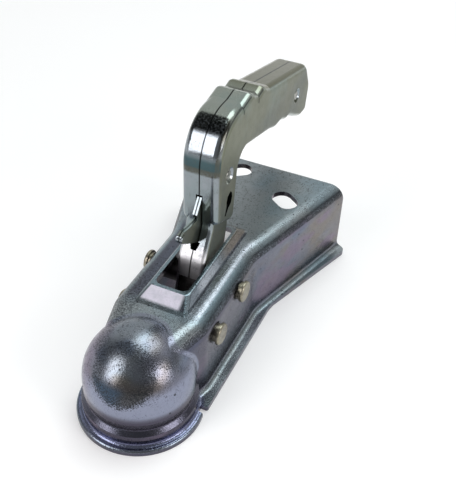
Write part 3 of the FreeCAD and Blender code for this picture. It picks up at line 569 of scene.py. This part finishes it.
class HandlePlating(PlatedMetal):
    """Duller zinc with an olive cast on the sides, a dark seam, painted dark reflections round the bend and
    a painted pale reflection on the foot of the stem.
    """

    def __init__(self, paint):
        super().__init__("plated_handle_sheet", paint.bright)
        self.cloud = self.noise(paint.cloud_width, detail=4.0, roughness=0.6)
        self.stain = self.noise(paint.stain_width, detail=5.0, roughness=0.7)
        self.speck = self.noise(paint.speck_width, detail=2.0, roughness=0.6)
        self.off_middle = self.maths("ABSOLUTE", self.across)
        self.flat = self.zone(turn=Fade(0.75, 0.98))
        self.front = self.zone(rearward=Fade(-0.3, -0.6))
        self.foot = self.zone(self.front, up=Fade(0.041, 0.037), along=Fade(0.062, 0.058))
        self.knuckle = self.zone(rearward=Fade(-0.25, -0.4))

    def lay_plate_and_painted_light(self, paint):
        """Olive grey sides, a bluish front, bluish green clouds and a painted pale reflection on the foot.
        """
        self.coat(paint.side, self.flat)
        self.coat(paint.front, self.front, strength=0.8)
        self.coat(paint.teal, cloud=Fade(0.45, 0.65, at_end=0.35))
        # painted pale reflection on the foot of the stem
        self.coat(paint.pale, self.foot, stain=Fade(0.5, 0.66, at_start=1.0, at_end=0.4))

    def paint_bend_reflections(self, paint):
        """Painted dark reflections: a teal band under the bend with a speckled line below it, and dark marks
        above it and at its right edge."""
        # painted dark reflection: a teal band under the bend
        self.coat(paint.knuckle_dark_reflection, self.knuckle, up=Stretch(0.0822, 0.0855, edge=0.0045), strength=0.9)
        # painted dark reflection: a speckled line below the band
        self.coat(paint.stain, self.knuckle, up=Stretch(0.0792, 0.081, edge=0.0016),
                  speck=Fade(0.4, 0.6, at_start=0.6))
        # painted dark reflection above the bend
        self.coat(paint.seam, rearward=Stretch(-0.64, -0.36, edge=0.06),
                  up=Stretch(0.0985, 0.104, edge=0.003), speck=Fade(0.38, 0.52, at_start=0.55))
        # painted dark reflection along the bend's right edge
        self.coat(paint.stain, sideways=Stretch(0.45, 0.8, edge=0.12),
                  up=Stretch(0.083, 0.104, edge=0.005), rearward=Fade(-0.2, -0.4),
                  stain=Fade(0.35, 0.6, at_start=0.5, at_end=0.9))

    def wear(self, paint):
        """Darker low on the flat sides, olive on top of the grip, small dark marks and the seam."""
        # darker towards the bottom of the flat sides
        self.coat(paint.stain, self.flat, up=Fade(0.092, 0.076),
                  cloud=Fade(0.35, 0.6, at_start=0.2, at_end=0.6))
        self.coat(paint.olive, upward=Fade(0.5, 0.8), along=Fade(0.108, 0.13))
        self.coat(paint.stain, speck=Fade(0.58, 0.66), stain=Fade(0.45, 0.62), strength=0.6)
        self.coat(paint.stain, stain=Fade(0.6, 0.78, at_end=0.5))
        self.coat(paint.seam, off_middle=Fade(0.00055, 0.0002), strength=0.9)


def handle_plating(paint):
    """The finish of the handle and the catch, coat by coat."""
    metal = HandlePlating(paint)
    metal.lay_plate_and_painted_light(paint)
    metal.paint_bend_reflections(paint)
    metal.wear(paint)
    roughness = metal.plus(
        metal.zone(stain=Fade(0.3, 0.7, at_start=0.13, at_end=0.21)), metal.times(metal.flat, 0.22),
        metal.times(metal.foot, 0.25))
    height = metal.plus(metal.stain, metal.times(metal.speck, 0.5))
    return metal.finish(metal.colour, roughness, height, depth=0.0001, strength=0.45)


def plain_metal(name, main, shade, smoothest, roughest, cloud_width):
    """A plain cloudy metal for pins, tubes, forgings and wire."""
    metal = Metal(name)
    cloud = metal.noise(cloud_width, detail=4.0, roughness=0.6)
    fine = metal.noise(cloud_width * 0.2, detail=2.0, roughness=0.6)
    colour = metal.mix(Fade(0.4, 0.65).over(metal, cloud), main, shade)
    roughness = Fade(0.3, 0.7, smoothest, roughest).over(metal, fine)
    return metal.finish(colour, roughness, cloud, depth=0.00015, strength=0.25)


def dress(names, material):
    """Gives carried-over nodes a new material in every slot."""
    for name in names:
        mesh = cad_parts[name].data
        if not mesh.materials:
            mesh.materials.append(material)
        for index in range(len(mesh.materials)):
            mesh.materials[index] = material


# Springs: a coil about the X axis with a straight leg at each end, one wire that follows one rule

def wire_place(group, given):
    """Where each step of the wire lies: down the upper leg, round the coil and down the lower leg."""
    turned = group.times(given["Turns"], 2.0 * math.pi)
    wound = group.times(turned, given["Coil radius"])
    whole = group.plus(given["Upper leg"], wound, given["Lower leg"])
    step = group.add("GeometryNodeInputIndex").outputs["Index"]
    share = group.maths("DIVIDE", step, group.minus(given["Steps"], 1.0))
    gone = group.times(share, whole)

    # how much of the way to this step lies on each leg and on the coil
    upper = group.maths("MINIMUM", gone, given["Upper leg"])
    coiled = group.maths("MINIMUM", group.minus(gone, upper), wound)
    lower = group.minus(gone, upper, coiled)
    angle = group.maths("DIVIDE", coiled, given["Coil radius"])

    off_middle = group.minus(group.maths("DIVIDE", angle, turned), 0.5)
    across = group.times(off_middle, given["Coil length"])
    along = group.times(group.maths("COSINE", angle), given["Coil radius"], -1.0)
    rise = group.times(group.maths("SINE", angle), given["Coil radius"])
    up = group.minus(given["Upper leg"], upper, rise, lower)
    place = group.add("ShaderNodeCombineXYZ", X=across, Y=along, Z=up).outputs["Vector"]
    return group.operate("ShaderNodeVectorMath", "ADD", (place, given["Centre"]))["Vector"]


def spring_tree():
    """A node group that sweeps a round wire along that path."""
    tree = bpy.data.node_groups.new("torsion_spring", "GeometryNodeTree")
    tree.interface.new_socket(name="Geometry", in_out="OUTPUT", socket_type="NodeSocketGeometry")
    for name, kind in SPRING_INPUTS.items():
        tree.interface.new_socket(name=name, in_out="INPUT", socket_type="NodeSocket" + kind)
    group = Nodes(tree)
    given = group.add("NodeGroupInput").outputs
    line = group.add("GeometryNodeMeshLine", Count=given["Steps"]).outputs["Mesh"]
    path = group.add("GeometryNodeMeshToCurve", Mesh=line).outputs["Curve"]
    place = wire_place(group, given)
    bent = group.add("GeometryNodeSetPosition", Geometry=path, Position=place).outputs["Geometry"]
    ring = group.add("GeometryNodeCurvePrimitiveCircle", Resolution=given["Sides"],
                     Radius=given["Wire radius"]).outputs["Curve"]
    wire = group.add("GeometryNodeCurveToMesh", Curve=bent, Profile_Curve=ring, Fill_Caps=True)
    smooth = group.add("GeometryNodeSetShadeSmooth", Geometry=wire.outputs["Mesh"])
    real = group.add("GeometryNodeRealizeInstances", Geometry=smooth.outputs["Geometry"])
    dressed = group.add("GeometryNodeSetMaterial", Geometry=real.outputs["Geometry"],
                        Material=given["Material"])
    group.add("NodeGroupOutput", Geometry=dressed.outputs["Geometry"])
    return tree


def spring_values(settings, which, material):
    """The inputs of one spring, read from the settings whose names begin with the spring's own."""
    values = {"Material": material}
    for name in SPRING_INPUTS:
        if name not in values:
            values[name] = getattr(settings, which + "_" + name.lower().replace(" ", "_"))
    return values


def wind_spring(tree, name, values):
    """Runs the node tree once with these inputs and keeps the result as a plain mesh."""
    blank = bpy.data.objects.new(name + "_source", bpy.data.meshes.new(name + "_source"))
    bpy.context.scene.collection.objects.link(blank)
    modifier = blank.modifiers.new("spring", "NODES")
    modifier.node_group = tree
    for item in tree.interface.items_tree:
        if item.in_out == "INPUT":
            modifier[item.identifier] = values[item.name]
    ready = blank.evaluated_get(bpy.context.evaluated_depsgraph_get())
    mesh = bpy.data.meshes.new_from_object(ready)
    mesh.name = name
    blank.modifiers.clear()
    bpy.data.objects.remove(blank)
    if not mesh.polygons:
        raise RuntimeError(name + " came out empty")
    piece = bpy.data.objects.new(name, mesh)
    bpy.context.scene.collection.objects.link(piece)
    return piece


# Studio

def build_lamp(name, distance, azimuth, elevation, lean, width, height, watts, tint):
    """A soft rectangular lamp that faces the part from a given direction, leaning over by some degrees."""
    data = bpy.data.lights.new(name, "AREA")
    data.shape = "RECTANGLE"
    data.size = width
    data.size_y = height
    data.energy = watts
    data.color = tint
    lamp = bpy.data.objects.new(name, data)
    bpy.context.scene.collection.objects.link(lamp)
    turn = math.radians(azimuth)
    lift = math.radians(elevation)
    away = Vector((math.sin(turn) * math.cos(lift), -math.cos(turn) * math.cos(lift), math.sin(lift)))
    lamp.location = LAMP_AIM + away * distance
    upright = away.to_track_quat("Z", "Y")
    lamp.rotation_euler = (upright @ Quaternion((0, 0, 1), math.radians(lean))).to_euler()


def build_room(settings):
    """A room that is pale behind the part and low at its sides, and dim in front and overhead."""
    world = bpy.data.worlds.new("studio_room")
    world.use_nodes = True
    room = Nodes(world.node_tree)
    room.across, room.along, room.up = room.split(room.add("ShaderNodeTexCoord").outputs["Generated"])
    dim_strip = room.zone(across=Fade(0.1, 0.5), up=Fade(0.42, 0.55, at_start=0.85, at_end=0.0))
    rear = room.zone(room.opposite(dim_strip), along=Fade(-0.1, 0.6))
    skirting = room.zone(up=Fade(0.22, 0.12), along=Fade(-0.75, -0.5))
    horizon = room.zone(up=Fade(0.09, 0.05))
    pale = room.largest(rear, skirting, horizon)
    background = world.node_tree.nodes["Background"].inputs
    room.feed(background["Strength"], room.between(pale, settings.room_front, settings.room_rear))
    room.feed(background["Color"], ROOM_TINT)
    bpy.context.scene.world = world


def floor_material(settings):
    """A dull pale floor that glows where the camera, metal or glass sees it, more so far away."""
    material = bpy.data.materials.new("pale_floor")
    material.use_nodes = True
    nodes = Nodes(material.node_tree)
    shader = material.node_tree.nodes["Principled BSDF"].inputs
    shader["Base Color"].default_value = settings.floor
    shader["Roughness"].default_value = 0.9
    shader["Specular IOR Level"].default_value = 0.1
    shader["Emission Color"].default_value = WHITE
    rays = nodes.add("ShaderNodeLightPath").outputs
    seen = nodes.largest(rays["Is Camera Ray"], rays["Is Glossy Ray"], rays["Is Transmission Ray"])
    distance = nodes.length(nodes.add("ShaderNodeTexCoord").outputs["Object"])
    growth = Fade(settings.glow_start, settings.glow_end, settings.floor_glow, settings.far_glow)
    nodes.feed(shader["Emission Strength"], nodes.times(seen, growth.over(nodes, distance)))
    return material


def build_floor(settings):
    level = cad_box[0][2]
    half = settings.floor_width / 2
    corners = [(-half, -half, level), (half, -half, level), (half, half, level), (-half, half, level)]
    mesh = bpy.data.meshes.new("studio_floor")
    mesh.from_pydata(corners, [], [(0, 1, 2, 3)])
    mesh.materials.append(floor_material(settings))
    floor = bpy.data.objects.new("studio_floor", mesh)
    bpy.context.scene.collection.objects.link(floor)


def build_camera():
    """The camera that was fitted to the photograph."""
    right = CAMERA_RIGHT.normalized()
    back = CAMERA_BACK.normalized()
    up = back.cross(right).normalized()
    data = bpy.data.cameras.new("photo_camera")
    data.sensor_width = SENSOR_WIDTH
    data.lens = PHOTO_FOCAL * SENSOR_WIDTH / max(PHOTO_WIDTH, PHOTO_HEIGHT)
    data.clip_start = CAMERA_CLIP
    camera = bpy.data.objects.new("photo_camera", data)
    bpy.context.scene.collection.objects.link(camera)
    turned = Matrix((right, up, back)).transposed().to_4x4()
    camera.matrix_world = Matrix.Translation(CAMERA_PLACE) @ turned
    bpy.context.scene.camera = camera


# Operators, in the order in which main calls them

class COUPLING_OT_body(bpy.types.Operator):
    """Finish the pressed body"""
    bl_idname = "coupling.body"
    bl_label = "Pressed body"

    def execute(self, context):
        dress(("coupling_body",), pressed_plating(context.scene.coupling_body))
        return {"FINISHED"}


class COUPLING_OT_handle(bpy.types.Operator):
    """Finish the two handle shells and the safety catch"""
    bl_idname = "coupling.handle"
    bl_label = "Lift handle"

    def execute(self, context):
        dress(HANDLE_PRESSINGS, handle_plating(context.scene.coupling_handle))
        return {"FINISHED"}


class COUPLING_OT_pins(bpy.types.Operator):
    """Finish the headed pins, rivets and tubes"""
    bl_idname = "coupling.pins"
    bl_label = "Pins, rivets and tubes"

    def execute(self, context):
        paint = context.scene.coupling_small
        for names, metal, main, shade, smoothest, roughest in (
                (HEADED_PINS, "plated_pin", paint.pin, paint.pin_shade, 0.25, 0.42),
                (HANDLE_RIVETS, "plated_rivet", paint.rivet, paint.rivet_shade, 0.22, 0.38),
                (TURNED_PIECES, "turned_steel", paint.turned, paint.turned_shade, 0.3, 0.5)):
            dress(names, plain_metal(metal, main, shade, smoothest, roughest, paint.fine_cloud))
        return {"FINISHED"}


class COUPLING_OT_mechanism(bpy.types.Operator):
    """Finish the cam and the jaw"""
    bl_idname = "coupling.mechanism"
    bl_label = "Cam and jaw"

    def execute(self, context):
        paint = context.scene.coupling_small
        dress(FORGED_PIECES, plain_metal(
            "forged_steel", paint.forged, paint.forged_shade, smoothest=0.45, roughest=0.65,
            cloud_width=paint.coarse_cloud))
        return {"FINISHED"}


class COUPLING_OT_springs(bpy.types.Operator):
    """Wind the jaw spring and the catch spring"""
    bl_idname = "coupling.springs"
    bl_label = "Springs"

    def execute(self, context):
        settings = context.scene.coupling_springs
        wire = plain_metal(
            "spring_wire", settings.steel, settings.shade, smoothest=0.25, roughest=0.4,
            cloud_width=settings.cloud_width)
        tree = spring_tree()
        jaw = wind_spring(tree, "wound_jaw_spring", spring_values(settings, "jaw", wire))
        catch = wind_spring(tree, "wound_catch_spring", spring_values(settings, "catch", wire))
        for piece, body, worn in ((jaw, "jaw", "jaw_spring"), (catch, "handle", "catch_spring")):
            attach(piece, body)
            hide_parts(worn)
        return {"FINISHED"}


class COUPLING_OT_stage(bpy.types.Operator):
    """Make the floor, the room, the lamps and the camera"""
    bl_idname = "coupling.stage"
    bl_label = "Studio"

    def execute(self, context):
        settings = context.scene.coupling_studio
        build_floor(settings)
        build_room(settings)
        for name, lamp in LAMPS.items():
            build_lamp(name, settings.lamp_distance, **lamp)
        context.scene.view_settings.view_transform = "Standard"
        build_camera()
        return {"FINISHED"}


class COUPLING_PT_panel(bpy.types.Panel):
    """Lists the steps that dress the coupling head"""
    bl_idname = "COUPLING_PT_panel"
    bl_label = "Coupling head"
    bl_space_type = "VIEW_3D"
    bl_region_type = "UI"
    bl_category = "Coupling"

    def draw(self, context):
        for operator in OPERATORS:
            self.layout.operator(operator.bl_idname)


SETTINGS = {
    "coupling_body": PlatedBodySettings,
    "coupling_handle": HandleSettings,
    "coupling_small": SmallPieceSettings,
    "coupling_springs": SpringSettings,
    "coupling_studio": StudioSettings,
}
OPERATORS = (
    COUPLING_OT_body, COUPLING_OT_handle, COUPLING_OT_pins, COUPLING_OT_mechanism, COUPLING_OT_springs,
    COUPLING_OT_stage)
CLASSES = (*SETTINGS.values(), *OPERATORS, COUPLING_PT_panel)


def register():
    for kind in CLASSES:
        bpy.utils.register_class(kind)
    for name, kind in SETTINGS.items():
        setattr(bpy.types.Scene, name, bpy.props.PointerProperty(type=kind))


def unregister():
    for name in SETTINGS:
        delattr(bpy.types.Scene, name)
    for kind in reversed(CLASSES):
        bpy.utils.unregister_class(kind)


def main():
    register()
    bpy.ops.coupling.body()
    bpy.ops.coupling.handle()
    bpy.ops.coupling.pins()
    bpy.ops.coupling.mechanism()
    bpy.ops.coupling.springs()
    bpy.ops.coupling.stage()
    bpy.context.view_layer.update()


if __name__ == "__main__":
    main()
